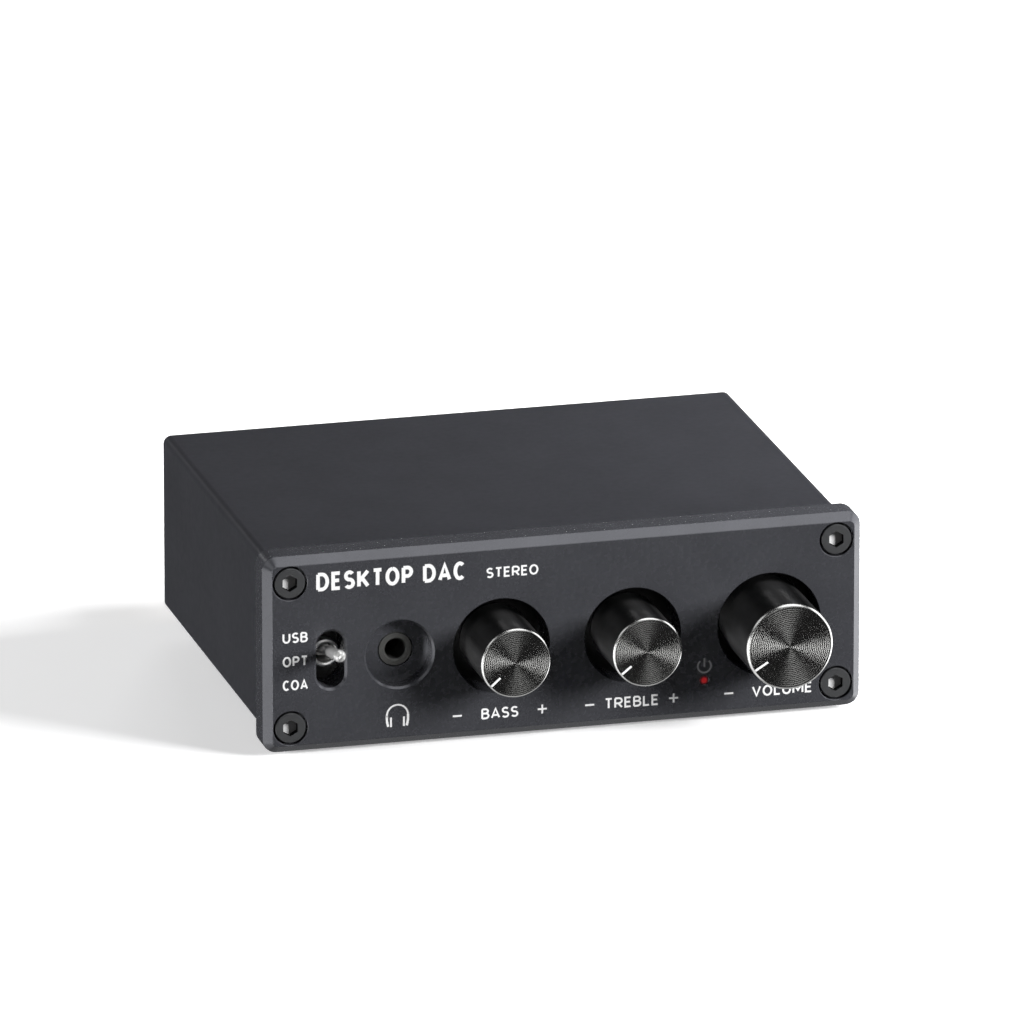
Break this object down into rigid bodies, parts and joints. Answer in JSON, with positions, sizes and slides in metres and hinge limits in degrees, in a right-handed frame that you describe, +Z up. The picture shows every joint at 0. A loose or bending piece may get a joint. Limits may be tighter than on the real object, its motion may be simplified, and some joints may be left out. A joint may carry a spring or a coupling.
{
  "type": "desktop dac",
  "caption": "Small desktop audio converter: sleeve case, thick front plate with rotary volume and tone knobs, source lever, headphone socket and rear sockets.",
  "frame": {"origin": "on the floor under the middle of the object", "axes": "+Z up, +X to the right seen from the front, front plate faces -Y"},
  "size_m": [0.105, 0.1006, 0.0355],
  "materials": {
    "anodised_plate": "matt anodised charcoal",
    "anodised_case": "matt anodised charcoal",
    "black_screw": "black oxide",
    "rubber": "matt",
    "liner": "matt black film",
    "board": "green solder mask",
    "knob": "black anodised, turned, bright rim",
    "moulding": "black moulding",
    "pot_metal": "plated steel",
    "bright_metal": "bright plated",
    "light": "clear red",
    "gold": "gold plated",
    "white_insulator": "white",
    "red_insulator": "red",
    "black_insulator": "black",
    "flap": "black flap"
  },
  "bodies": {
    "chassis": {"front_plate": "anodised_plate", "case_sleeve": "anodised_case", "rear_plate": "anodised_case", "front_liner": "liner", "main_board": "board", "front_screw_1": "black_screw", "front_screw_2": "black_screw", "front_screw_3": "black_screw", "front_screw_4": "black_screw", "rear_screw_1": "black_screw", "rear_screw_2": "black_screw", "rear_screw_3": "black_screw", "rear_screw_4": "black_screw", "foot_1": "rubber", "foot_2": "rubber", "foot_3": "rubber", "foot_4": "rubber", "bass_bush": "bright_metal", "bass_pot_body": "pot_metal", "treble_bush": "bright_metal", "treble_pot_body": "pot_metal", "volume_bush": "bright_metal", "volume_pot_body": "pot_metal", "volume_switch": "pot_metal", "toggle_bush": "bright_metal", "toggle_body": "moulding", "headphone_ferrule": "bright_metal", "headphone_jack": "moulding", "led_lens": "light", "power_led": "light", "line_left_shell": "gold", "line_left_insulator": "white_insulator", "line_left_contact": "gold", "line_right_shell": "gold", "line_right_insulator": "red_insulator", "line_right_contact": "gold", "coax_input_shell": "gold", "coax_input_insulator": "black_insulator", "coax_input_contact": "gold", "optical_body": "moulding", "optical_receiver": "light", "usb_shell": "bright_metal", "usb_housing": "moulding", "power_housing": "moulding", "power_pin": "bright_metal", "dac_chip": "moulding", "usb_chip": "moulding", "supply_cap_1": "bright_metal", "supply_cap_2": "bright_metal"},
    "volume_control": {"volume_knob": "knob", "volume_knob_insert": "moulding", "volume_shaft": "bright_metal"},
    "bass_control": {"bass_knob": "knob", "bass_knob_insert": "moulding", "bass_shaft": "bright_metal"},
    "treble_control": {"treble_knob": "knob", "treble_knob_insert": "moulding", "treble_shaft": "bright_metal"},
    "source_lever": {"toggle_lever": "bright_metal"},
    "optical_cover": {"optical_shutter": "flap"}
  },
  "joints": [
    {"name": "volume_turn", "type": "hinge", "parent": "chassis", "child": "volume_control", "pos_m": [0.0361, -0.03712, 0.01695], "axis": [0, 1, 0], "range_deg": [-28.5, 271.5]},
    {"name": "bass_turn", "type": "hinge", "parent": "chassis", "child": "bass_control", "pos_m": [-0.01105, -0.03712, 0.01695], "axis": [0, 1, 0], "range_deg": [-19, 281]},
    {"name": "treble_turn", "type": "hinge", "parent": "chassis", "child": "treble_control", "pos_m": [0.012, -0.03712, 0.01695], "axis": [0, 1, 0], "range_deg": [-22, 278]},
    {"name": "source_select", "type": "hinge", "parent": "chassis", "child": "source_lever", "pos_m": [-0.0409, -0.02973, 0.01695], "axis": [1, 0, 0], "range_deg": [0, 22]},
    {"name": "optical_flap", "type": "hinge", "parent": "chassis", "child": "optical_cover", "pos_m": [0.0065, 0.03848, 0.0157], "axis": [-1, 0, 0], "range_deg": [0, 80], "stiffness_Nm_per_rad": 0.0002, "springref_deg": -28.65}
  ]
}
